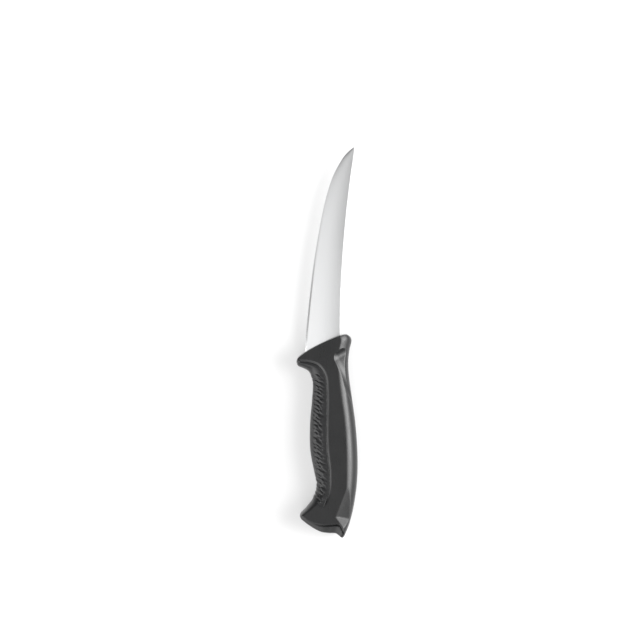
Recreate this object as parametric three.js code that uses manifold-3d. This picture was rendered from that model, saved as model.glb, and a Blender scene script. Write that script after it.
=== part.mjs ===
// A butcher's boning knife lying on its side: a thin curved blade with a hidden tang,
// a hard moulded handle body, and a soft grip moulded round the handle's belly.
//
// Millimetres. +Y runs from the butt to the point, +X from the cutting edge to the spine,
// +Z up. While the pieces are built z = 0 is the knife's middle plane; the last step moves
// the whole knife so that the middle of its underside is the origin.

import * as THREE from "three";
import { mergeVertices } from "three/addons/utils/BufferGeometryUtils.js";
import Module from "manifold-3d";

// ---------- driving dimensions ----------

const GAP = 0.3;                 // clearance between pieces that fit into each other

const HANDLE_HALF = 11.5;        // middle plane to either flat side of the handle
const FRONT_ROUND = 0.7;         // rounding where the front face meets the flat sides
const BUTT_ROUND = 1.6;          // rounding round the butt
const BUTT_DROP = 2.2;           // fall of the band round the butt below the flat side
const CREST_BLEND = 0.02;        // softening of the crease between flat side and back
const SCOOP_BLEND = 0.3;         // softening of the edges of the thumb hollows
const OUTLINE_HEIGHT = 0.001;    // heights below this are on the outline itself

const GRIP_SIDE = 2.4;           // thickness of the soft grip on the flat sides
const GRIP_BELLY = 4.0;          // thickness of the soft grip along the belly
const GRIP_SUNK = 0.9;           // how far its sides lie below the flat sides of the handle
const GRIP_START = 0.07;         // where the grip starts and ends, as shares of the
const GRIP_END = 0.79;           // handle's length from front face to butt
const GRIP_FADE = 0.06;          // share over which the sinking fades out at the rear
const GRIP_START_GAP = 0.009;    // the gap at the grip's ends, as the same kind of share
const GRIP_END_GAP = 0.003;
const RIM_GAP = 0.02;            // share of the steps across that makes a millimetre there

const SPINE_HALF = 1.0;          // half thickness of the blade at the root of its spine
const GRIND_ACROSS = 0.015;      // fall of each blade side per millimetre towards the edge
const GRIND_ALONG = 0.0057;      // and per millimetre towards the point
const BEVEL = 1.3;               // width of the sharpened bevel
const EDGE_HALF = 0.06;          // half thickness left at the sharpened edge
const BLADE_END = 0.995;         // the point is blunted just short of its very tip

const TANG_HALF = 1.0;           // half thickness of the tang
const TANG_HEEL = [-11, -8];     // where its lower side leaves the blade
const TANG_HOLLOW = [-4.5, -13]; // pulls the curve from the heel to the neck
const TANG_NECK = [-3, -24];
const TANG_TOP = [[9.5, -20], [8, -1]];
const TANG_END = [7, -104];      // centre of its round end
const TANG_END_RADIUS = 5;
const TANG_MIDDLE = [3.5, -20];  // the holes lie between this point and the round end
const TANG_HOLE_RADIUS = 3;
const TANG_HOLES = [-28, -56, -84];

// The handle seen from its side is bounded by four curves that meet at its corners.
// Each curve passes through these points, in millimetres.

const NOSE = [-22.9, -13.7];       // tip of the finger guard
const SHOULDER = [17.3, 4.6];      // top of the handle, beside the blade's spine
const HOOK = [-20.4, -128.3];      // tip of the hook behind the little finger
const HEEL = [12.6, -143.8];       // rearmost corner

const FRONT_CURVE = [NOSE, [-20.9, -10], [-13, -4.6], [-3, 0.55], [6.5, 4.55], [13.6, 6.5], SHOULDER];
const BUTT_CURVE = [
  HOOK, [-18.9, -131], [-13, -135.6], [-5.5, -139.8], [1, -141], [6.3, -141.3], [10.5, -144.4], HEEL,
];
const BELLY_CURVE = [
  NOSE, [-21.6, -17], [-16.5, -19.3], [-12.8, -22.4], [-10.6, -29.5], [-11.3, -42.5], [-12.75, -60],
  [-12.6, -79.5], [-9.7, -95.5], [-7.65, -105.5], [-9.9, -114.3], [-15.4, -122], [-19.4, -126.2], HOOK,
];
const BACK_CURVE = [
  SHOULDER, [18.15, 1.3], [16.6, -5.5], [15.75, -14], [16.3, -25], [18.35, -40], [20.9, -58.5],
  [22.4, -77], [22.7, -93], [21.8, -108], [19.6, -122.3], [17, -132.9], [14.5, -139.8], HEEL,
];

// Values that change along the handle, from the front face to the butt at even steps:
// how wide belly and back are rounded, how far the back's rounding rises above the flat
// side before it is cut off there, and the grip's edge as a share of the way across.
const BELLY_ROUND = [2.5, 3.6, 6.5, 11, 13, 13.5, 13, 10, 4.5, 2, 1.6];
const BACK_ROUND = [12.5, 11, 9.5, 9.5, 10, 10, 10, 9, 6, 4.5, 3];
const BACK_CREST = [0.06, 0.04, 0, 0, 0, 0, 0, 0, 0, 0, 0];
const GRIP_EDGE = [0.06, 0.197, 0.307, 0.396, 0.408, 0.395, 0.388, 0.347, 0.318, 0.32, 0.32];
// Width of the sloping band round the butt, from hook to heel at even steps.
const BUTT_BAND = [2.6, 3.2, 4, 6, 7.6, 7.6, 4.2, 1.6];

// The thumb groove starts with a round end on the flat side and runs out over the back.
// Its floor slopes down towards the back, and falls ever faster along the groove.
const GROOVE_START = [9.3, -11.6];
const GROOVE_HEADING = [0.48, -0.877];
const GROOVE_RADIUS = 8;
const GROOVE_DEPTH = 2.1;
const GROOVE_SLOPE = 0.27;
const GROOVE_FALL = 0.0118;

// The thumb rest at the rear of the back falls fast from its edge at first (by REST_STEP
// over some REST_BEND) and gently after. A sloping wall closes it at the rear.
const REST_CORNER = [16.5, -102];
const REST_FACING = [0.928, -0.371];
const REST_SLOPE = 0.27;
const REST_STEP = 0.4;
const REST_BEND = 2;
const WALL_CORNER = [6.3, -129];
const WALL_FACING = [0.81, 0.586];
const WALL_SLOPE = 0.43;

const EDGE_CURVE = [
  [-16.7, -8], [-15.2, 12], [-13, 34], [-10.5, 55.5], [-7, 78], [-2.6, 101],
  [3.3, 121.5], [10.5, 135.8], [15.8, 142.4], [20.5, 146.1],
];
const SPINE_CURVE = [
  [9.9, -2], [9.6, 12], [9.9, 32], [10.9, 54], [12.6, 78], [14.9, 102],
  [17.2, 121], [19.3, 135.8], [20.1, 142], [20.6, 146.1],
];

// ---------- curves and surfaces ----------

const wasm = await Module();
wasm.setup();

function curve(points) {
  return new THREE.SplineCurve(points.map(([x, y]) => new THREE.Vector2(x, y)));
}

const front = curve(FRONT_CURVE);
const butt = curve(BUTT_CURVE);
const belly = curve(BELLY_CURVE);
const back = curve(BACK_CURVE);
const bladeEdge = curve(EDGE_CURVE);
const bladeSpine = curve(SPINE_CURVE);

/** A value that changes smoothly along the handle, from evenly spaced values. */
function along(values, u) {
  return curve(values.map((value, i) => [i, value])).getPoint(u).y;
}

/**
 * The point of the side view that lies u of the way from front face to butt and t of the
 * way from belly to back. Equal steps of t crowd together at the belly and at the back.
 */
function place(u, t) {
  const share = (1 - Math.cos(Math.PI * t)) / 2;
  const corners = new THREE.Vector2();
  corners.addScaledVector(front.getPoint(0), (1 - u) * (1 - share));
  corners.addScaledVector(front.getPoint(1), (1 - u) * share);
  corners.addScaledVector(butt.getPoint(0), u * (1 - share));
  corners.addScaledVector(butt.getPoint(1), u * share);
  const lengthwise = front.getPoint(t).lerp(butt.getPoint(t), u);
  const crosswise = belly.getPoint(u).lerp(back.getPoint(u), share);
  return lengthwise.add(crosswise).sub(corners);
}

/** Height of a rounded edge, 0 at the outline and 1 from a distance of `width` inwards. */
function rounded(distance, width, power) {
  const share = Math.min(distance / width, 1);
  return (1 - (1 - share) ** power) ** (1 / power);
}

/** How far a point lies from a corner, measured along a direction. */
function beyond(point, [cornerX, cornerY], [alongX, alongY]) {
  return (point.x - cornerX) * alongX + (point.y - cornerY) * alongY;
}

/** Height of the thumb groove's floor, with its round end and its wall on the belly side. */
function thumbGroove(point) {
  const [headX, headY] = GROOVE_HEADING;
  const ahead = beyond(point, GROOVE_START, GROOVE_HEADING);
  const toBack = beyond(point, GROOVE_START, [-headY, headX]);
  const away = Math.hypot(Math.min(toBack, 0), Math.min(ahead, 0));
  if (away >= GROOVE_RADIUS) return Infinity;
  const rise = GROOVE_RADIUS - Math.sqrt(GROOVE_RADIUS ** 2 - away ** 2);
  const fall = GROOVE_FALL * Math.max(ahead, 0) ** 2 + GROOVE_SLOPE * toBack;
  return HANDLE_HALF - GROOVE_DEPTH + rise - fall;
}

/** Height of the thumb rest, or of the wall behind it where that stands higher. */
function thumbRest(point) {
  const past = beyond(point, REST_CORNER, REST_FACING);
  const bend = past > 0 ? REST_STEP * (1 - Math.exp(-past / REST_BEND)) : past;
  const rest = HANDLE_HALF - REST_SLOPE * past - bend;
  const wall = HANDLE_HALF - WALL_SLOPE * beyond(point, WALL_CORNER, WALL_FACING);
  return -softMin(-rest, -wall, SCOOP_BLEND);
}

/** The lower of two heights, with the edge between them softened. */
function softMin(a, b, blend) {
  const near = Math.max(blend - Math.abs(a - b), 0) / blend;
  return Math.min(a, b) - near * near * blend / 4;
}

/** Height of the handle's side over the middle plane at (u, t). */
function sideHeight(u, t) {
  const point = place(u, t);
  const toButt = point.distanceTo(butt.getPoint(t));
  const backShare = rounded(point.distanceTo(back.getPoint(u)), along(BACK_ROUND, u), 2);
  let height = HANDLE_HALF - BUTT_DROP * Math.max(1 - toButt / along(BUTT_BAND, t), 0);
  height *= rounded(point.distanceTo(front.getPoint(t)), FRONT_ROUND, 3);
  height *= rounded(toButt, BUTT_ROUND, 2.5);
  height *= rounded(point.distanceTo(belly.getPoint(u)), along(BELLY_ROUND, u), 2.2);
  height *= softMin((1 + along(BACK_CREST, u)) * backShare, 1, CREST_BLEND);
  height = softMin(height, thumbGroove(point), SCOOP_BLEND);
  height = softMin(height, thumbRest(point), SCOOP_BLEND);
  return height > OUTLINE_HEIGHT ? height : 0;
}

/** The triangles between neighbouring points of a grid, as a flat list of coordinates. */
function gridTriangles(rows, columns, pointAt, flipped = false) {
  const grid = rows.map((row) => columns.map((column) => pointAt(row, column)));
  const triangles = [];
  for (let i = 0; i + 1 < rows.length; i += 1) {
    for (let j = 0; j + 1 < columns.length; j += 1) {
      const corners = [grid[i][j], grid[i + 1][j], grid[i + 1][j + 1], grid[i][j + 1]];
      if (flipped) corners.reverse();
      const [a, b, c, d] = corners;
      triangles.push(...a, ...b, ...c, ...a, ...c, ...d);
    }
  }
  return triangles;
}

/** Values from `from` to `to`, even or crowded towards the "start" or the "end". */
function steps(from, to, count, crowded = "") {
  const values = [];
  for (let i = 0; i <= count; i += 1) {
    let share = i / count;
    if (crowded === "start") share = 1 - Math.cos(Math.PI / 2 * share);
    if (crowded === "end") share = Math.sin(Math.PI / 2 * share);
    values.push(from + (to - from) * share);
  }
  return values;
}

// ---------- solids ----------

function solidFromTriangles(coordinates) {
  const geometry = new THREE.BufferGeometry();
  geometry.setAttribute("position", new THREE.Float32BufferAttribute(coordinates, 3));
  return solidFromGeometry(geometry);
}

function solidFromGeometry(source) {
  const geometry = source.clone();
  geometry.deleteAttribute("normal");
  geometry.deleteAttribute("uv");
  const welded = mergeVertices(geometry, 1e-4);
  return new wasm.Manifold(new wasm.Mesh({
    numProp: 3,
    vertProperties: new Float32Array(welded.attributes.position.array),
    triVerts: new Uint32Array(welded.index.array),
  }));
}

function geometryFromSolid(solid) {
  const mesh = solid.getMesh();
  const geometry = new THREE.BufferGeometry();
  geometry.setAttribute("position", new THREE.BufferAttribute(mesh.vertProperties, 3));
  geometry.setIndex(new THREE.BufferAttribute(mesh.triVerts, 1));
  return geometry;
}

/** The whole handle, before anything is cut into it. */
function handleForm() {
  const leadIn = 0.03;
  const leadOut = 0.86;
  const rows = [
    ...steps(0, leadIn, 4, "start"),
    ...steps(leadIn, leadOut, 36).slice(1),
    ...steps(leadOut, 1, 9, "end").slice(1),
  ];
  const columns = steps(0, 1, 26);
  const pointOn = (side) => (u, t) => {
    const point = place(u, t);
    return [point.x, point.y, side * sideHeight(u, t)];
  };
  return solidFromTriangles([
    ...gridTriangles(rows, columns, pointOn(1)),
    ...gridTriangles(rows, columns, pointOn(-1), true),
  ]);
}

/**
 * The band round the belly that the grip fills. `sideOutwards` says how far its sides
 * stand out from the handle's at u. With a gap, and standing proud of the handle, it is
 * the pocket for the grip.
 */
function gripBand(gap, outwards, sideOutwards) {
  const hasGap = gap > 0 ? 1 : 0;
  const start = GRIP_START - hasGap * GRIP_START_GAP;
  const end = GRIP_END + hasGap * GRIP_END_GAP;
  const rows = steps(start, end, 32);
  const columns = steps(-1, 1, 18);
  const layer = (bellyOut, sideOut) => (u, column) => {
    const across = back.getPoint(u).sub(belly.getPoint(u)).normalize();
    const rim = along(GRIP_EDGE, u) + gap * RIM_GAP;
    const t = rim * Math.abs(column);
    const point = place(u, t).addScaledVector(across, -bellyOut * (1 - Math.abs(column)));
    const height = sideHeight(u, t) * (1 + sideOut(u) / HANDLE_HALF);
    return [point.x, point.y, Math.sign(column) * height];
  };
  const outer = layer(outwards, sideOutwards);
  const inner = layer(-GRIP_BELLY - gap, () => -GRIP_SIDE - gap);
  const between = (u, column, depth) => (depth ? inner(u, column) : outer(u, column));
  const depths = [0, 1];
  const [firstRow] = rows;
  const lastRow = rows[rows.length - 1];
  return solidFromTriangles([
    ...gridTriangles(rows, columns, outer),
    ...gridTriangles(rows, columns, inner, true),
    ...gridTriangles(rows, depths, (u, depth) => between(u, -1, depth), true),
    ...gridTriangles(rows, depths, (u, depth) => between(u, 1, depth)),
    ...gridTriangles(columns, depths, (column, depth) => between(firstRow, column, depth)),
    ...gridTriangles(columns, depths, (column, depth) => between(lastRow, column, depth), true),
  ]);
}

/** Half the blade's thickness: each side is one true plane. */
function bladeHalf(point) {
  const [rootX, rootY] = SPINE_CURVE[0];
  return SPINE_HALF - GRIND_ACROSS * (rootX - point.x) - GRIND_ALONG * (point.y - rootY);
}

/** The ground blade, without its tang. `grow` makes it larger all round. */
function bladeForm(grow, end) {
  const ring = (v) => {
    const edge = bladeEdge.getPoint(v);
    const spine = bladeSpine.getPoint(v);
    const across = spine.clone().sub(edge);
    const width = across.length();
    across.normalize();
    const shoulder = edge.clone().addScaledVector(across, Math.min(BEVEL, width * 0.45));
    const shoulderHalf = bladeHalf(shoulder) + grow;
    const spineHalf = bladeHalf(spine) + grow;
    edge.addScaledVector(across, -grow);
    spine.addScaledVector(across, grow);
    const drop = v === 0 ? grow : 0;
    return [
      [edge.x, edge.y - drop, EDGE_HALF + grow],
      [shoulder.x, shoulder.y - drop, shoulderHalf],
      [spine.x, spine.y - drop, spineHalf],
      [spine.x, spine.y - drop, -spineHalf],
      [shoulder.x, shoulder.y - drop, -shoulderHalf],
      [edge.x, edge.y - drop, -EDGE_HALF - grow],
    ];
  };
  const stations = steps(0, end, 40, "end");
  const aroundRing = [0, 1, 2, 3, 4, 5, 0];
  const triangles = gridTriangles(stations, aroundRing, (v, corner) => ring(v)[corner], true);
  for (const [v, flipped] of [[0, false], [end, true]]) {
    const corners = ring(v);
    const [top, bottom] = [[0, 1, 2], [5, 4, 3]];
    triangles.push(...gridTriangles([0, 1], [0, 1, 2], (side, i) => {
      return corners[side ? bottom[i] : top[i]];
    }, flipped));
  }
  return solidFromTriangles(triangles);
}

/** The tang: a flat tongue with three holes that the handle is moulded through. */
function tangForm(grow) {
  const [endX, endY] = TANG_END;
  const [[rearX, rearY], [frontX, frontY]] = TANG_TOP;
  const outline = new THREE.Shape();
  outline.moveTo(TANG_HEEL[0] - grow, TANG_HEEL[1]);
  outline.quadraticCurveTo(TANG_HOLLOW[0] - grow, TANG_HOLLOW[1], TANG_NECK[0] - grow, TANG_NECK[1]);
  outline.lineTo(endX - TANG_END_RADIUS - grow, endY);
  outline.absarc(endX, endY, TANG_END_RADIUS + grow, Math.PI, 2 * Math.PI);
  outline.lineTo(rearX + grow, rearY);
  outline.lineTo(frontX + grow, frontY);
  for (const y of TANG_HOLES) {
    const x = THREE.MathUtils.mapLinear(y, TANG_MIDDLE[1], endY, TANG_MIDDLE[0], endX);
    const hole = new THREE.Path();
    hole.absarc(x, y, TANG_HOLE_RADIUS - grow, 0, 2 * Math.PI, true);
    outline.holes.push(hole);
  }
  const half = TANG_HALF + grow;
  const geometry = new THREE.ExtrudeGeometry(outline, {
    depth: 2 * half, bevelEnabled: false, curveSegments: 16,
  });
  geometry.translate(0, 0, -half);
  return solidFromGeometry(geometry);
}

// ---------- pieces ----------

function steel() {
  return new THREE.MeshStandardMaterial({ color: 0xc9cccf, roughness: 0.3, metalness: 1 });
}

function hardPlastic() {
  return new THREE.MeshStandardMaterial({ color: 0x1c1d1f, roughness: 0.45, metalness: 0 });
}

function softRubber() {
  return new THREE.MeshStandardMaterial({ color: 0x232427, roughness: 0.8, metalness: 0 });
}

function blade() {
  return bladeForm(0, BLADE_END).add(tangForm(0));
}

function handleBody() {
  const bladeSlot = bladeForm(GAP, 0.2).add(tangForm(GAP));
  const gripPocket = gripBand(GAP, 1, () => 1);
  return handleForm().subtract(gripPocket).subtract(bladeSlot);
}

/** The grip lies sunk behind the handle's edge, and comes up flush with it at the rear. */
function gripInlay() {
  const sunk = (u) => GRIP_SUNK * (1 - THREE.MathUtils.smoothstep(u, GRIP_END - GRIP_FADE, GRIP_END));
  return gripBand(0, 0, (u) => -sunk(u));
}

function piece(name, solid, material) {
  const mesh = new THREE.Mesh(geometryFromSolid(solid), material);
  mesh.name = name;
  return mesh;
}

function knife() {
  const group = new THREE.Group();
  group.name = "boning_knife";
  group.add(piece("blade_with_tang", blade(), steel()));
  group.add(piece("handle_body", handleBody(), hardPlastic()));
  group.add(piece("soft_grip", gripInlay(), softRubber()));
  const box = new THREE.Box3().setFromObject(group);
  const centre = box.getCenter(new THREE.Vector3());
  group.position.set(-centre.x, -centre.y, -box.min.z);
  return group;
}

export default knife();
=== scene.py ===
"""The looks of a curved boning knife: satin steel blade, hard black handle, soft textured grip.

Metres, in the frame of the CAD part: the knife lies on its side, +Y towards the point,
+X towards the spine, +Z up. The handle's curves are drawn in millimetres and then fitted
to the box of the CAD handle.
"""

import math

import bpy
import numpy as np
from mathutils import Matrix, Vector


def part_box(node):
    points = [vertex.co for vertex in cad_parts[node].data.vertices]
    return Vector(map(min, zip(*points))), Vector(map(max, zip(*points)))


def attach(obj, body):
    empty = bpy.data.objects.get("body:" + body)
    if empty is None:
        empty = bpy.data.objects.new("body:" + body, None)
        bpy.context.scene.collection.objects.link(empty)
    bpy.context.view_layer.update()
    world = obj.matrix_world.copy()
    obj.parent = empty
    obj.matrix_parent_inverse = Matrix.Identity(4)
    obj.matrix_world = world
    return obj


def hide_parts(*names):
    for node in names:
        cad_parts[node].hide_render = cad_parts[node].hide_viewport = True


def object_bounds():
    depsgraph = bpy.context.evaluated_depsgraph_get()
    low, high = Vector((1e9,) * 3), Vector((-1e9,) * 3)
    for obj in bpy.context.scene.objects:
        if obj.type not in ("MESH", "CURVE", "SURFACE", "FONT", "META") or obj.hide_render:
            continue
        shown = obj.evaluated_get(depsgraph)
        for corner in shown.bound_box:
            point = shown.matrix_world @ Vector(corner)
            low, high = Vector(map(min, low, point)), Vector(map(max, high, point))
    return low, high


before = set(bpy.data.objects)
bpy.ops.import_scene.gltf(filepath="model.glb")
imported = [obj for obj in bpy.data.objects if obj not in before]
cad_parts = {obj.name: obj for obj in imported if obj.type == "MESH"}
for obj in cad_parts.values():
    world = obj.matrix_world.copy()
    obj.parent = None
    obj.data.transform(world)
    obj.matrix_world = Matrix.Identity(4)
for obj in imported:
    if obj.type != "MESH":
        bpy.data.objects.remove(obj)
cad_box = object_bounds()

MM = 0.001

# ---------- the handle as it is drawn, in millimetres ----------

# Four curves bound the handle seen from its side. They meet at its four corners.
NOSE = (-22.9, -13.7)
SHOULDER = (17.3, 4.6)
HOOK = (-20.4, -128.3)
HEEL = (12.6, -143.8)

FRONT_CURVE = [NOSE, (-20.9, -10), (-13, -4.6), (-3, 0.55), (6.5, 4.55), (13.6, 6.5), SHOULDER]
BUTT_CURVE = [
    HOOK, (-18.9, -131), (-13, -135.6), (-5.5, -139.8), (1, -141), (6.3, -141.3), (10.5, -144.4), HEEL,
]
BELLY_CURVE = [
    NOSE, (-21.6, -17), (-16.5, -19.3), (-12.8, -22.4), (-10.6, -29.5), (-11.3, -42.5), (-12.75, -60),
    (-12.6, -79.5), (-9.7, -95.5), (-7.65, -105.5), (-9.9, -114.3), (-15.4, -122), (-19.4, -126.2), HOOK,
]
BACK_CURVE = [
    SHOULDER, (18.15, 1.3), (16.6, -5.5), (15.75, -14), (16.3, -25), (18.35, -40), (20.9, -58.5),
    (22.4, -77), (22.7, -93), (21.8, -108), (19.6, -122.3), (17, -132.9), (14.5, -139.8), HEEL,
]

# Values that change along the handle, from the front face to the butt at even steps: the
# widths of its rounded belly and back, how crisply the back's rounding meets the flat side,
# and where the grip ends, as a share of the way from belly to back.
BELLY_ROUND = [2.5, 3.6, 6.5, 11, 13, 13.5, 13, 10, 4.5, 2, 1.6]
BACK_ROUND = [12.5, 11, 9.5, 9.5, 10, 10, 10, 9, 6, 4.5, 3]
BACK_CREST = [0.06, 0.04, 0, 0, 0, 0, 0, 0, 0, 0, 0]
GRIP_EDGE = [0.06, 0.197, 0.307, 0.396, 0.408, 0.395, 0.388, 0.347, 0.318, 0.32, 0.32]
# Values that change across the butt, from the hook to the heel at even steps: the width of
# the sloping band, the step at its upper edge, and the depth of the ditch along that edge.
BUTT_BAND = [2.6, 3.2, 4, 6, 7.6, 7.6, 4.2, 1.6]
BUTT_STEP = [0, 0, 0.1, 0.4, 0.6, 0.6, 0.6, 0.4]
BUTT_DITCH = [0, 0, 0.1, 0.6, 0.9, 0.9, 0.8, 0.4]

FRONT_ROUND = 0.7
BUTT_ROUND = 1.6
BUTT_DROP = 2.2
BUTT_STEP_WITHIN = 0.12   # share of the band over which its step falls
DITCH_PLACE = 0.55        # distance from the band's upper edge to the ditch's floor
DITCH_WIDTH = 0.65
CREST_BLEND = 0.02
SCOOP_BLEND = 0.3

# How full the rounded edges are: 2 is a quarter ellipse, and more is squarer.
FRONT_FULLNESS = 3
BUTT_FULLNESS = 2.5
BELLY_FULLNESS = 2.2
BACK_FULLNESS = 2

# The thumb groove starts with a round end on the flat side and runs out over the back.
# Its floor slopes down towards the back, and falls ever faster along the groove.
GROOVE_START = (9.3, -11.6)
GROOVE_HEADING = (0.48, -0.877)
GROOVE_RADIUS = 8
GROOVE_DEPTH = 2.1
GROOVE_SLOPE = 0.27
GROOVE_FALL = 0.0118

# The thumb rest at the rear of the back falls fast from its edge at first (by REST_STEP
# over some REST_BEND) and gently after. A sloping wall closes it at the rear.
REST_CORNER = (16.5, -102)
REST_FACING = (0.928, -0.371)
REST_SLOPE = 0.27
REST_STEP = 0.4
REST_BEND = 2
WALL_CORNER = (6.3, -129)
WALL_FACING = (0.81, 0.586)
WALL_SLOPE = 0.43

# The soft grip, and the lip of the hard handle round it.
GRIP_START = 0.07
GRIP_END = 0.79
GRIP_SIDE = 2.4
GRIP_BELLY = 4.0
GRIP_SUNK = 0.9           # how far the grip's side lies below the flat side of the handle
GRIP_RISE = 11            # distance from the lip at which the sinking has faded out
GRIP_FADE = 0.06          # share of the handle over which the sinking fades out at the rear
RIM_SHARE = 0.02          # share across the handle that makes a millimetre at the grip's edge
GRIP_EDGE_ROUND = 0.5     # radius along the edge of the grip
GRIP_EDGE_LEFT = 0.4      # share of that rounding which is left where the grip ends flush
LIP_WIDTH = 1.8
LIP_DROP = 0.9
LIP_POWER = 1.3
SEAM = 0.06               # gap between the grip and the wall of its pocket
ROW_STEP = 0.0004         # a step along the handle as small as a crisp edge

# The ribs moulded into the grip.
RIB_LENGTH = 4.8
RIB_WIDTH = 2.2
RIB_HEIGHT = 0.5
RIB_LEAN = math.radians(40)
RIB_STEP_ALONG = 3.0
RIB_STEP_ACROSS = 3.0
RIB_SCATTER = 0.6         # how far ribs stray from even places, as a share of a step
RIB_SIZES = (0.75, 1.25)  # the smallest and the largest rib, as shares of a rib's size
# The ribs rise or fade between these pairs. The first two pairs are distances from the rim
# of the grip, and the others are places along Y.
RIB_FADE_RIM = (1.0, 5.0)
RIB_FADE_BELLY = (9.0, 11.5)
RIB_FADE_REAR = (-119.5, -116.5)
RIB_FADE_FRONT = (-25.0, -21.0)

# The blade and its tang, each between a lower and an upper curve.
EDGE_CURVE = [
    (-16.7, -8), (-15.2, 12), (-13, 34), (-10.5, 55.5), (-7, 78), (-2.6, 101),
    (3.3, 121.5), (10.5, 135.8), (15.8, 142.4), (20.5, 146.1),
]
SPINE_CURVE = [
    (9.9, -2), (9.6, 12), (9.9, 32), (10.9, 54), (12.6, 78), (14.9, 102),
    (17.2, 121), (19.3, 135.8), (20.1, 142), (20.6, 146.1),
]
TANG_BELOW = [
    (6.9, -109), (2.2, -105.5), (2, -100), (0.5, -76), (-1, -52), (-3, -24), (-5.5, -14.5), (-11, -9.5),
]
TANG_ABOVE = [
    (7.1, -109), (11.8, -105.5), (12, -100), (11.2, -76), (10.3, -52), (9.5, -24), (8.8, -14), (8.4, -8),
]
BLADE_END = 0.995         # the point is blunted just short of its very tip
SPINE_HALF = 1.0          # half thickness at the root of the spine, and of the tang
GRIND_ACROSS = 0.015      # fall of each side per millimetre towards the edge
GRIND_ALONG = 0.0057      # and per millimetre towards the point
SWELL = 0.02              # how far a ground side swells out, as a share of the blade's width
BEVEL = 1.3               # width of the sharpened bevel
BEVEL_MOST = 0.45         # and the most of the blade's width that it takes at the point
EDGE_HALF = 0.06          # half thickness left at the sharpened edge
SPINE_BREAK = 0.15        # size of the broken corner along the spine

# Rows and columns of the meshes.
OUTLINE_STEPS = 400
LEAD_IN = 0.03            # the handle's rows crowd together up to here from the front face
LEAD_OUT = 0.9            # and from here on towards the butt
LEAD_IN_ROWS = 12
MIDDLE_ROWS = 290
LEAD_OUT_ROWS = 70
POCKET_COLUMNS = 21
LIP_COLUMNS = [0, 0, 0.06, 0.15, 0.3, 0.5, 0.7, 0.95, 1.2, 1.45, 1.7, 2, 2.3, 2.6]
SIDE_COLUMNS = 71
RIM_STEPS = 700
GRIP_COARSE = 4           # the grip's inner skin has one row or column for this many outer ones
GRIP_ROWS = 120 * GRIP_COARSE + 1
GRIP_EDGE_COLUMNS = [0, 0.008, 0.02, 0.04]
GRIP_RIBBED = (0.06, 0.62)    # as shares of the way from the rim to the middle of the belly
RIBBED_COLUMNS = 46
BELLY_COLUMNS = 16
BLADE_RINGS = 120
TANG_RINGS = 60
FACE_COLUMNS = 25

# Numbers that mix those of a cell so thoroughly that the result looks random.
SCATTER_MIX = (127.1, 311.7, 74.7)
SCATTER_SCALE = 43758.5453

# The studio: glows as (where they are, angle of the even core, angle where they end, strength).
SKY_LEVEL = 0.33
SKY_GLOWS = [
    ((-0.21, -0.24, 1), 8, 30, 0.82),       # overhead, which the blade and the flats mirror
    ((-1, -0.4, 0.2), 20, 42, 3.6),         # low on the left, for the rounded belly
    ((-0.33, -0.68, 0.66), 10, 30, 2.6),    # towards the butt, for the band round it
    ((0.78, 0.03, 0.616), 10, 38, 3),       # on the right, round the key light
    ((1, 0.1, 0.15), 20, 38, 2.6),          # low on the right, for the outer part of the back
]
FLOOR_HALF = 3.0          # half the floor's width, in metres
FLOOR_GLOW = 0.44
KEY_AIM = (0.763, 0.03, 0.616)
KEY_AWAY = 1.4            # in metres, as are the key light's sizes
KEY_WIDTH = 0.95
KEY_LENGTH = 0.7
KEY_POWER = 16.5

# The camera, in lengths of the knife.
FIELD = 1.639             # the width that the picture shows
EYE_HEIGHT = 4.2
EYE_LEFT = 0.018          # how far left of the knife's middle it stands
EYE_AHEAD = 0.0561        # and how far towards the point
SENSOR = 36


# ---------- curves and surfaces ----------

def spline(points, share):
    """Points of a smooth curve through evenly shared points (Catmull-Rom)."""
    knots = np.asarray(points, float)
    if knots.ndim == 1:
        knots = knots[:, None]
    last = len(knots) - 1
    place_on = np.clip(np.asarray(share, float), 0, 1) * last
    index = np.minimum(place_on.astype(int), last - 1)
    part = (place_on - index)[..., None]
    before = knots[np.maximum(index - 1, 0)]
    start = knots[index]
    end = knots[index + 1]
    after = knots[np.minimum(index + 2, last)]
    leave = (end - before) / 2
    arrive = (after - start) / 2
    cubic = (2 * start - 2 * end + leave + arrive) * part**3
    square = (-3 * start + 3 * end - 2 * leave - arrive) * part**2
    return cubic + square + leave * part + start


def along(values, u):
    """A value that changes smoothly along a curve, from evenly shared values."""
    return spline(values, u)[..., 0]


def side_view(u, t):
    """Points u of the way from front face to butt and t of the way from belly to back."""
    across = ((1 - np.cos(np.pi * t)) / 2)[..., None]
    down = u[..., None]
    lengthwise = (1 - down) * spline(FRONT_CURVE, t) + down * spline(BUTT_CURVE, t)
    crosswise = (1 - across) * spline(BELLY_CURVE, u) + across * spline(BACK_CURVE, u)
    front = (1 - across) * np.array(NOSE) + across * np.array(SHOULDER)
    rear = (1 - across) * np.array(HOOK) + across * np.array(HEEL)
    return lengthwise + crosswise - (1 - down) * front - down * rear


def unit(vector):
    return [float(value) for value in np.array(vector) / np.linalg.norm(vector)]


def distance(a, b):
    return np.linalg.norm(a - b, axis=-1)


def rounded(gap, width, fullness):
    """Height of a rounded edge: 0 at the outline, 1 from `width` inwards."""
    share = np.clip(gap / width, 0, 1)
    return (1 - (1 - share) ** fullness) ** (1 / fullness)


def smooth_step(value, low, high):
    share = np.clip((value - low) / (high - low), 0, 1)
    return share * share * (3 - 2 * share)


def soft_min(a, b, blend):
    """The lower of two heights, with the edge between them softened."""
    near = np.maximum(blend - np.abs(a - b), 0) / blend
    return np.minimum(a, b) - near * near * blend / 4


def beyond(points, corner, direction):
    """How far points lie from a corner, measured along a direction."""
    return (points - np.array(corner)) @ np.array(direction)


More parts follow.
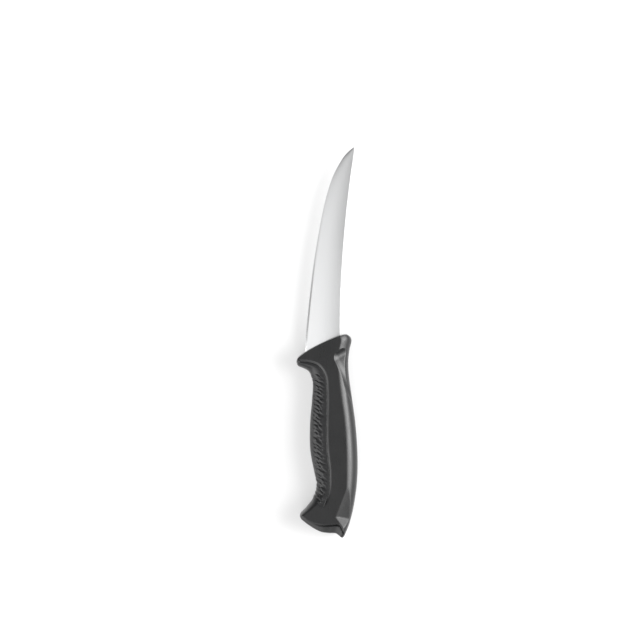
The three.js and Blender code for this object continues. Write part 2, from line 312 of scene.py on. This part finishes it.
def thumb_groove(points):
    """Height of the groove's floor, with its round end and its wall on the belly side."""
    head_x, head_y = GROOVE_HEADING
    ahead = beyond(points, GROOVE_START, GROOVE_HEADING)
    to_back = beyond(points, GROOVE_START, (-head_y, head_x))
    away = np.hypot(np.minimum(to_back, 0), np.minimum(ahead, 0))
    rise = GROOVE_RADIUS - np.sqrt(np.maximum(GROOVE_RADIUS**2 - away**2, 0))
    fall = GROOVE_FALL * np.maximum(ahead, 0) ** 2 + GROOVE_SLOPE * to_back
    floor = HANDLE_HALF - GROOVE_DEPTH + rise - fall
    return np.where(away < GROOVE_RADIUS, floor, 2 * HANDLE_HALF)


def thumb_rest(points):
    """Height of the sloping rest, or of the wall behind it where that stands higher."""
    past = beyond(points, REST_CORNER, REST_FACING)
    bend = np.where(past > 0, REST_STEP * (1 - np.exp(-np.abs(past) / REST_BEND)), past)
    rest = HANDLE_HALF - REST_SLOPE * past - bend
    wall = HANDLE_HALF - WALL_SLOPE * beyond(points, WALL_CORNER, WALL_FACING)
    return -soft_min(-rest, -wall, SCOOP_BLEND)


def drawn_outline():
    """Points all round the handle as it is drawn."""
    even = np.linspace(0, 1, OUTLINE_STEPS)
    curves = (FRONT_CURVE, BUTT_CURVE, BELLY_CURVE, BACK_CURVE)
    return np.concatenate([spline(curve, even) for curve in curves])


# The drawing's outline and the CAD handle's box give the handle's place in the frame.
drawn_low, drawn_high = drawn_outline().min(0), drawn_outline().max(0)
handle_low, handle_high = (np.array(corner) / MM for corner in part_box("handle_body"))
HANDLE_HALF = (handle_high[2] - handle_low[2]) / 2
MIDDLE = (handle_high[2] + handle_low[2]) / 2
DRAWING_SCALE = (handle_high[:2] - handle_low[:2]) / (drawn_high - drawn_low)
DRAWING_SHIFT = handle_low[:2] - drawn_low * DRAWING_SCALE


def to_frame(points, height):
    """Points of the drawing at a height over the middle plane, in metres in the frame."""
    flat = points * DRAWING_SCALE + DRAWING_SHIFT
    return np.concatenate([flat, (height + MIDDLE)[..., None]], axis=-1) * MM


def side_height(u, t, points):
    """Height of the handle's side over its middle plane."""
    to_butt = distance(points, spline(BUTT_CURVE, t))
    in_band = 1 - to_butt / along(BUTT_BAND, t)
    height = HANDLE_HALF - BUTT_DROP * np.clip(in_band, 0, 1)
    height = height - along(BUTT_STEP, t) * smooth_step(in_band, 0, BUTT_STEP_WITHIN)
    from_ditch = (in_band * along(BUTT_BAND, t) - DITCH_PLACE) / DITCH_WIDTH
    height = height - along(BUTT_DITCH, t) * np.exp(-from_ditch**2)
    to_front = distance(points, spline(FRONT_CURVE, t))
    to_belly = distance(points, spline(BELLY_CURVE, u))
    to_back = distance(points, spline(BACK_CURVE, u))
    height = height * rounded(to_front, FRONT_ROUND, FRONT_FULLNESS)
    height = height * rounded(to_butt, BUTT_ROUND, BUTT_FULLNESS)
    height = height * rounded(to_belly, along(BELLY_ROUND, u), BELLY_FULLNESS)
    back = rounded(to_back, along(BACK_ROUND, u), BACK_FULLNESS)
    height = height * soft_min((1 + along(BACK_CREST, u)) * back, np.ones(back.shape), CREST_BLEND)
    height = soft_min(height, thumb_groove(points), SCOOP_BLEND)
    height = soft_min(height, thumb_rest(points), SCOOP_BLEND)
    return np.maximum(height, 0)


# ---------- meshes ----------

def mesh_piece(name, vertices, faces, sharp_degrees):
    """A new smooth-shaded object, with edges sharper than `sharp_degrees` kept crisp."""
    mesh = bpy.data.meshes.new(name)
    mesh.from_pydata(vertices.tolist(), [], faces)
    mesh.validate()
    mesh.update()
    mesh.shade_smooth()
    mesh.set_sharp_from_angle(angle=math.radians(sharp_degrees))
    piece = bpy.data.objects.new(name, mesh)
    bpy.context.scene.collection.objects.link(piece)
    return piece


def quads(index, flipped=False):
    """The faces between neighbouring entries of a grid of vertex numbers."""
    corners = [index[:-1, :-1], index[1:, :-1], index[1:, 1:], index[:-1, 1:]]
    if flipped:
        corners.reverse()
    return np.stack(corners, axis=-1).reshape(-1, 4).tolist()


def crowded(low, high, count, end):
    """Values from low to high that crowd towards the "start" or the "end"."""
    turn = np.linspace(0, math.pi / 2, count + 1)
    share = 1 - np.cos(turn) if end == "start" else np.sin(turn)
    return low + (high - low) * share


def handle_rows():
    """Where the handle's rows lie from front face to butt, with a pair at each pocket end."""
    lead_in = crowded(0, LEAD_IN, LEAD_IN_ROWS, "start")
    middle = np.linspace(LEAD_IN, LEAD_OUT, MIDDLE_ROWS)
    lead_out = crowded(LEAD_OUT, 1, LEAD_OUT_ROWS, "end")
    pocket_ends = [GRIP_START, GRIP_START + ROW_STEP, GRIP_END, GRIP_END + ROW_STEP]
    return np.unique(np.concatenate([lead_in, middle, lead_out, pocket_ends]))


def lip_strength(u):
    """1 where the grip lies sunk behind the handle's lip, 0 where it ends flush at the rear."""
    return 1 - smooth_step(u, GRIP_END - GRIP_FADE, GRIP_END - ROW_STEP)


def distance_to_rim(points):
    """Distance from each point to the edge of the grip's pocket."""
    u = np.linspace(GRIP_START, GRIP_END, RIM_STEPS)
    rim = side_view(u, along(GRIP_EDGE, u))
    nearest = [
        np.sqrt(((row[:, None, :] - rim[None, :, :]) ** 2).sum(-1).min(1)) for row in points
    ]
    return np.array(nearest)


def towards_back(u):
    """Unit vectors that point straight across the handle, from its belly to its back."""
    across = spline(BACK_CURVE, u) - spline(BELLY_CURVE, u)
    return across / np.linalg.norm(across, axis=-1, keepdims=True)


def handle_sheet():
    """Drawn points and heights of one side of the handle, with the pocket for the grip."""
    lip = np.array(LIP_COLUMNS)
    inside = np.linspace(0, 1, POCKET_COLUMNS + 1)[:-1]
    outside = np.linspace(0, 1, SIDE_COLUMNS + 1)[1:]
    u = handle_rows()[:, None]
    wall = along(GRIP_EDGE, u)
    shore = wall + lip[-1] * RIM_SHARE
    t = np.concatenate([
        wall * inside[None, :],
        wall + lip[None, :] * RIM_SHARE,
        shore + (1 - shore) * outside[None, :],
    ], axis=1)
    u = np.broadcast_to(u, t.shape)
    points = side_view(u, t)
    height = side_height(u, t, points)

    in_pocket = (u > GRIP_START + ROW_STEP / 2) & (u < GRIP_END + ROW_STEP / 2)
    columns = np.arange(t.shape[1])[None, :]
    beyond_wall = columns > len(inside)
    short = np.clip(LIP_WIDTH - distance_to_rim(points), 0, LIP_WIDTH)
    roll = LIP_DROP * (short / LIP_WIDTH) ** LIP_POWER
    height = height - np.where(beyond_wall | ~in_pocket, roll * lip_strength(u), 0)

    floor = in_pocket & ~beyond_wall
    shift = np.where(floor, (GRIP_BELLY + SEAM) * (1 - t / wall), 0)
    points = points + towards_back(u) * shift[..., None]
    height = height * np.where(floor, 1 - (GRIP_SIDE + SEAM) / HANDLE_HALF, 1)
    height = np.maximum(height, 0)
    height[0, :] = height[-1, :] = 0
    height[:, 0] = height[:, -1] = 0
    return points, height


def handle_shell():
    """The hard handle: its two sides, joined along their common outline."""
    points, height = handle_sheet()
    rows, columns = height.shape
    top = np.arange(rows * columns).reshape(rows, columns)
    under = top.copy()
    inner = under[1:-1, 1:-1]
    inner[...] = rows * columns + np.arange(inner.size).reshape(inner.shape)
    vertices = np.concatenate([
        to_frame(points, height).reshape(-1, 3),
        to_frame(points, -height)[1:-1, 1:-1].reshape(-1, 3),
    ])
    faces = quads(top) + quads(under, flipped=True)
    return mesh_piece("handle_shell", vertices, faces, sharp_degrees=40)


def scattered(cell, salt):
    """A fixed, even scatter of values from 0 to 1, one for each whole-number cell."""
    by_column, by_row, by_salt = SCATTER_MIX
    mixed = np.sin(cell[..., 0] * by_column + cell[..., 1] * by_row + salt * by_salt) * SCATTER_SCALE
    return mixed - np.floor(mixed)


def rib_height(points, from_rim):
    """Height of the leaning ribs at drawn points, `from_rim` millimetres from the grip's edge.

    The grip is divided into cells, with every other column half a step further along. Each
    cell holds one rib, a long dome near its middle, and the highest dome at a point counts.
    """
    y = points[..., 1]
    column = from_rim / RIB_STEP_ACROSS
    row = y / RIB_STEP_ALONG
    best = np.zeros(column.shape)
    lean_across, lean_along = math.cos(RIB_LEAN), math.sin(RIB_LEAN)
    smallest, largest = RIB_SIZES
    for column_step in (-1, 0, 1):
        cell_column = np.floor(column) + column_step
        further = 0.5 * (cell_column % 2)
        for row_step in (-2, -1, 0, 1, 2):
            cell_row = np.floor(row - further) + row_step
            cell = np.stack([cell_column, cell_row], axis=-1)
            middle_column = cell_column + 0.5 + RIB_SCATTER * (scattered(cell, 1) - 0.5)
            middle_row = cell_row + further + 0.5 + RIB_SCATTER * (scattered(cell, 2) - 0.5)
            across = (column - middle_column) * RIB_STEP_ACROSS
            lengthwise = (row - middle_row) * RIB_STEP_ALONG
            size = smallest + (largest - smallest) * scattered(cell, 3)
            by_length = (-across * lean_across - lengthwise * lean_along) / (RIB_LENGTH / 2 * size)
            by_width = (across * lean_along - lengthwise * lean_across) / (RIB_WIDTH / 2 * size)
            radius = by_length**2 + by_width**2
            best = np.maximum(best, np.sqrt(np.maximum(1 - radius, 0)))
    fade = smooth_step(from_rim, *RIB_FADE_RIM) * (1 - smooth_step(from_rim, *RIB_FADE_BELLY))
    fade *= smooth_step(y, *RIB_FADE_REAR) * (1 - smooth_step(y, *RIB_FADE_FRONT))
    return RIB_HEIGHT * best * fade


def grip_columns():
    """Where the grip's columns lie, from -1 at the far rim over the belly to 1 at the near rim."""
    near = 1 - np.concatenate([GRIP_EDGE_COLUMNS, np.linspace(*GRIP_RIBBED, RIBBED_COLUMNS)])
    belly = np.linspace(near[-1], 0, BELLY_COLUMNS)[1:]
    half = np.concatenate([near, belly])
    return np.concatenate([-half, half[::-1][1:]])


def grip_layers():
    """The grip's outer and inner surfaces as grids of points in the frame."""
    u = np.linspace(GRIP_START + 2 * ROW_STEP, GRIP_END - ROW_STEP, GRIP_ROWS)[:, None]
    column = grip_columns()[None, :]
    u, column = np.broadcast_arrays(u, column)
    rim = along(GRIP_EDGE, u) - SEAM * RIM_SHARE
    t = rim * np.abs(column)
    side = np.sign(column)
    points = side_view(u, t)
    height = side_height(u, t, points)
    from_rim = distance(points, side_view(u, rim))

    sunk = GRIP_SUNK * lip_strength(u) * (1 - smooth_step(from_rim, 0, GRIP_RISE))
    in_edge = np.clip(GRIP_EDGE_ROUND - from_rim, 0, GRIP_EDGE_ROUND)
    edge_fall = GRIP_EDGE_ROUND - np.sqrt(GRIP_EDGE_ROUND**2 - in_edge**2)
    edge_fall *= GRIP_EDGE_LEFT + (1 - GRIP_EDGE_LEFT) * lip_strength(u)
    outer_height = height * (1 - sunk / HANDLE_HALF) - edge_fall
    outer = to_frame(points, side * np.maximum(outer_height, 0))
    outer += rib_height(points, from_rim)[..., None] * MM * surface_normals(outer)

    inner_points = points + towards_back(u) * (GRIP_BELLY * (1 - np.abs(column)))[..., None]
    inner = to_frame(inner_points, side * height * (1 - GRIP_SIDE / HANDLE_HALF))
    return outer, inner


def surface_normals(grid):
    """Unit normals of a grid of points, on the side that faces out of the handle."""
    down = np.gradient(grid, axis=0)
    over = np.gradient(grid, axis=1)
    normal = np.cross(down, over)
    return normal / np.maximum(np.linalg.norm(normal, axis=-1, keepdims=True), 1e-12)


def grip_pad():
    """The grip: a fine outer skin, a coarse inner one, and walls that join their borders."""
    outer, inner = grip_layers()
    inner = inner[::GRIP_COARSE, ::GRIP_COARSE]
    rows, columns = outer.shape[:2]
    outside = np.arange(rows * columns).reshape(rows, columns)
    inside = outside.size + np.arange(inner[..., 0].size).reshape(inner.shape[:2])
    faces = quads(outside) + quads(inside, flipped=True)
    borders = [
        (outside[:, -1], inside[:, -1], False), (outside[:, 0], inside[:, 0], True),
        (outside[-1, :], inside[-1, :], True), (outside[0, :], inside[0, :], False),
    ]
    for fine_edge, coarse_edge, flipped in borders:
        for i in range(len(coarse_edge) - 1):
            run = fine_edge[i * GRIP_COARSE:(i + 1) * GRIP_COARSE + 1].tolist()
            face = run + [int(coarse_edge[i + 1]), int(coarse_edge[i])]
            faces.append(face if flipped else face[::-1])
    vertices = np.concatenate([outer.reshape(-1, 3), inner.reshape(-1, 3)])
    return mesh_piece("grip_pad", vertices, faces, sharp_degrees=50)


def blade_rings():
    """Rings of drawn points and heights round the tang and the blade, from tang to point."""
    tang = np.linspace(0, 1, TANG_RINGS)
    blade = crowded(0, BLADE_END, BLADE_RINGS, "end")
    edge = np.concatenate([spline(TANG_BELOW, tang), spline(EDGE_CURVE, blade)])[:, None]
    spine = np.concatenate([spline(TANG_ABOVE, tang), spline(SPINE_CURVE, blade)])[:, None]
    width = distance(edge, spine)[..., None]
    across = (spine - edge) / width
    bevel = np.minimum(BEVEL, BEVEL_MOST * width)
    bevel_shares = np.array([0, 0.5])[:, None]
    face_shares = np.linspace(0, 1, FACE_COLUMNS)[:, None]
    reach = np.concatenate([
        bevel * bevel_shares,
        bevel + (width - SPINE_BREAK - bevel) * face_shares,
        width,
    ], axis=1)
    points = edge + across * reach

    root = np.array(SPINE_CURVE[0])
    height = SPINE_HALF - (root - points) @ np.array([GRIND_ACROSS, -GRIND_ALONG])
    bulge = 4 * face_shares * (1 - face_shares)
    face_start = len(bevel_shares)
    height[:, face_start:-1] += SWELL * width[..., 0] * bulge.T
    shoulder = height[:, face_start:face_start + 1]
    height[:, :face_start] = EDGE_HALF + (shoulder - EDGE_HALF) * bevel_shares.T
    height[:, -1] -= SPINE_BREAK
    height[:TANG_RINGS] = SPINE_HALF
    return points, height


def blade_and_tang():
    """The blade with its tang: one closed skin of rings, each running out and back."""
    points, height = blade_rings()
    rows, columns = height.shape
    rings = np.concatenate([to_frame(points, height), to_frame(points, -height)[:, ::-1]], axis=1)
    index = np.arange(rows * 2 * columns).reshape(rows, 2 * columns)
    faces = quads(np.concatenate([index, index[:, :1]], axis=1), flipped=True)
    for row, flipped in ((index[0], False), (index[-1], True)):
        faces += quads(np.stack([row[:columns], row[:columns - 1:-1]]), flipped)
    return mesh_piece("blade_skin", rings.reshape(-1, 3), faces, sharp_degrees=8)


# ---------- materials ----------

class Shader:
    """A node material under construction."""

    def __init__(self, name):
        self.material = bpy.data.materials.new(name)
        self.material.use_nodes = True
        self.nodes = self.material.node_tree.nodes
        self.links = self.material.node_tree.links
        self.surface = self.nodes["Principled BSDF"]

    def node(self, kind, **settings):
        made = self.nodes.new(kind)
        for key, value in settings.items():
            setattr(made, key, value)
        return made

    def link(self, source, target):
        self.links.new(source, target)

    def place(self, scale):
        """Coordinates in the frame, stretched by `scale` along X, Y and Z."""
        mapping = self.node("ShaderNodeMapping")
        mapping.inputs["Scale"].default_value = scale
        self.link(self.node("ShaderNodeTexCoord").outputs["Object"], mapping.inputs["Vector"])
        return mapping.outputs["Vector"]

    def noise(self, scale, detail=4):
        """Noise that is `scale` times finer than a metre along X, Y and Z."""
        noise = self.node("ShaderNodeTexNoise")
        noise.inputs["Scale"].default_value = 1
        noise.inputs["Detail"].default_value = detail
        noise.inputs["Roughness"].default_value = 0.55
        self.link(self.place(scale), noise.inputs["Vector"])
        return noise.outputs["Fac"]

    def spread(self, value, low, high, from_low=0.3, from_high=0.7):
        """`value` spread from its usual range to low..high."""
        spread = self.node("ShaderNodeMapRange")
        spread.inputs["From Min"].default_value = from_low
        spread.inputs["From Max"].default_value = from_high
        spread.inputs["To Min"].default_value = low
        spread.inputs["To Max"].default_value = high
        self.link(value, spread.inputs["Value"])
        return spread.outputs["Result"]

    def total(self, *values):
        """The sum of the values."""
        result = values[0]
        for value in values[1:]:
            add = self.node("ShaderNodeMath", operation="ADD")
            self.link(result, add.inputs[0])
            self.link(value, add.inputs[1])
            result = add.outputs["Value"]
        return result

    def colour(self, value, dark, light):
        """A colour between dark and light, chosen by `value`."""
        mix = self.node("ShaderNodeMix", data_type="RGBA")
        mix.inputs["A"].default_value = (*dark, 1)
        mix.inputs["B"].default_value = (*light, 1)
        self.link(value, mix.inputs["Factor"])
        return mix.outputs["Result"]

    def bump(self, height, depth):
        """Relief too fine for the mesh, `depth` metres deep."""
        bump = self.node("ShaderNodeBump")
        bump.inputs["Distance"].default_value = depth
        bump.inputs["Strength"].default_value = 1
        self.link(height, bump.inputs["Height"])
        self.link(bump.outputs["Normal"], self.surface.inputs["Normal"])


def blade_steel():
    """Satin ground stainless steel: fine grinding lines across the blade, faint clouding."""
    shader = Shader("blade_steel")
    lines = shader.noise((180, 9000, 900), detail=3)
    clouding = shader.noise((40, 25, 40), detail=3)
    scratches = shader.noise((2500, 90, 900), detail=2)
    tone = shader.spread(shader.total(lines, clouding), 0, 1, from_low=0.7, from_high=1.3)
    shader.link(
        shader.colour(tone, (0.86, 0.865, 0.87), (0.885, 0.89, 0.895)),
        shader.surface.inputs["Base Color"],
    )
    shader.surface.inputs["Metallic"].default_value = 1
    wear = shader.total(lines, clouding, scratches)
    shader.link(
        shader.spread(wear, 0.16, 0.24, from_low=1.1, from_high=1.9),
        shader.surface.inputs["Roughness"],
    )
    shader.bump(shader.total(lines, scratches), depth=1e-6)
    return shader.material


def moulded_plastic():
    """Hard black plastic with a fine eroded grain and faint handling marks."""
    shader = Shader("hard_plastic")
    grain = shader.noise((2600, 2600, 2600), detail=2)
    clouding = shader.noise((60, 60, 60), detail=4)
    scuffs = shader.noise((900, 120, 900), detail=3)
    tone = shader.spread(clouding, 0, 1)
    shader.link(
        shader.colour(tone, (0.0045, 0.0047, 0.005), (0.0065, 0.0067, 0.007)),
        shader.surface.inputs["Base Color"],
    )
    wear = shader.total(grain, scuffs, clouding)
    shader.link(
        shader.spread(wear, 0.27, 0.36, from_low=1.2, from_high=1.8),
        shader.surface.inputs["Roughness"],
    )
    shader.surface.inputs["Specular IOR Level"].default_value = 0.43
    shader.bump(shader.total(grain, scuffs), depth=12e-6)
    return shader.material


def soft_rubber():
    """Matt black thermoplastic rubber, with a faintly clouded tone and a fine grain in its gloss."""
    shader = Shader("grip_rubber")
    grain = shader.noise((3400, 3400, 3400), detail=3)
    clouding = shader.noise((90, 90, 90), detail=4)
    tone = shader.spread(shader.total(clouding, grain), 0, 1, from_low=0.7, from_high=1.3)
    shader.link(
        shader.colour(tone, (0.006, 0.0062, 0.0066), (0.01, 0.0102, 0.0106)),
        shader.surface.inputs["Base Color"],
    )
    shader.link(shader.spread(grain, 0.28, 0.36), shader.surface.inputs["Roughness"])
    shader.surface.inputs["Specular IOR Level"].default_value = 0.36
    shader.bump(grain, depth=18e-6)
    return shader.material


# ---------- stage ----------

def floor():
    """A wide plain table top just under the knife, lit from within as product tables are."""
    half = FLOOR_HALF
    vertices = np.array([(-half, -half, 0), (half, -half, 0), (half, half, 0), (-half, half, 0)])
    piece = mesh_piece("floor", vertices, [[0, 1, 2, 3]], sharp_degrees=30)
    shader = Shader("pale_floor")
    shader.surface.inputs["Roughness"].default_value = 0.9
    shader.surface.inputs["Specular IOR Level"].default_value = 0.1
    tone = shader.spread(shader.noise((8, 8, 8)), 0, 1)
    shader.link(
        shader.colour(tone, (0.395, 0.395, 0.395), (0.405, 0.405, 0.405)),
        shader.surface.inputs["Base Color"],
    )
    shader.surface.inputs["Emission Color"].default_value = (1, 1, 1, 1)
    shader.surface.inputs["Emission Strength"].default_value = FLOOR_GLOW
    piece.data.materials.append(shader.material)


def sky():
    """A soft studio surround: dim all over, with a few soft glows."""
    world = bpy.data.worlds.new("surround")
    world.use_nodes = True
    tree = world.node_tree
    direction = tree.nodes.new("ShaderNodeTexCoord").outputs["Generated"]
    level = tree.nodes.new("ShaderNodeValue").outputs["Value"]
    level.default_value = SKY_LEVEL
    for aim, core, edge, strength in SKY_GLOWS:
        facing = tree.nodes.new("ShaderNodeVectorMath")
        facing.operation = "DOT_PRODUCT"
        tree.links.new(direction, facing.inputs[0])
        facing.inputs[1].default_value = unit(aim)
        glow = tree.nodes.new("ShaderNodeMapRange")
        glow.interpolation_type = "SMOOTHSTEP"
        glow.inputs["From Min"].default_value = math.cos(math.radians(edge))
        glow.inputs["From Max"].default_value = math.cos(math.radians(core))
        glow.inputs["To Min"].default_value = 0
        glow.inputs["To Max"].default_value = strength
        tree.links.new(facing.outputs["Value"], glow.inputs["Value"])
        add = tree.nodes.new("ShaderNodeMath")
        tree.links.new(level, add.inputs[0])
        tree.links.new(glow.outputs["Result"], add.inputs[1])
        level = add.outputs["Value"]
    background = tree.nodes["Background"]
    background.inputs["Color"].default_value = (1, 1, 1, 1)
    tree.links.new(level, background.inputs["Strength"])
    bpy.context.scene.world = world


def key_light():
    """A soft box high on the right. It lights the back and throws the shadow to the left."""
    light = bpy.data.lights.new("key_light", "AREA")
    light.shape = "RECTANGLE"
    light.size = KEY_LENGTH
    light.size_y = KEY_WIDTH
    light.energy = KEY_POWER
    lamp = bpy.data.objects.new("key_light", light)
    lamp.location = [KEY_AWAY * value for value in unit(KEY_AIM)]
    lamp.rotation_euler = (-lamp.location).to_track_quat("-Z", "Y").to_euler()
    bpy.context.scene.collection.objects.link(lamp)


def camera():
    """Straight down on the knife, which lies a little right of and below the picture's middle."""
    length = cad_box[1][1] - cad_box[0][1]
    lens = bpy.data.cameras.new("camera")
    lens.sensor_width = SENSOR
    lens.lens = SENSOR * EYE_HEIGHT / FIELD
    eye = bpy.data.objects.new("camera", lens)
    middle_x = (cad_box[0][0] + cad_box[1][0]) / 2
    middle_y = (cad_box[0][1] + cad_box[1][1]) / 2
    eye.location = (
        middle_x - EYE_LEFT * length,
        middle_y + EYE_AHEAD * length,
        MIDDLE * MM + EYE_HEIGHT * length,
    )
    bpy.context.scene.collection.objects.link(eye)
    bpy.context.scene.camera = eye


# ---------- the knife ----------

def finish_piece(piece, material, node):
    """Give a piece its material, hang it on the root body, and hide the CAD node that it stands in for.
    """
    piece.data.materials.append(material)
    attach(piece, "root")
    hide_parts(node)


finish_piece(handle_shell(), moulded_plastic(), "handle_body")
finish_piece(grip_pad(), soft_rubber(), "soft_grip")
finish_piece(blade_and_tang(), blade_steel(), "blade_with_tang")

floor()
sky()
key_light()
camera()
bpy.context.scene.view_settings.view_transform = "Standard"
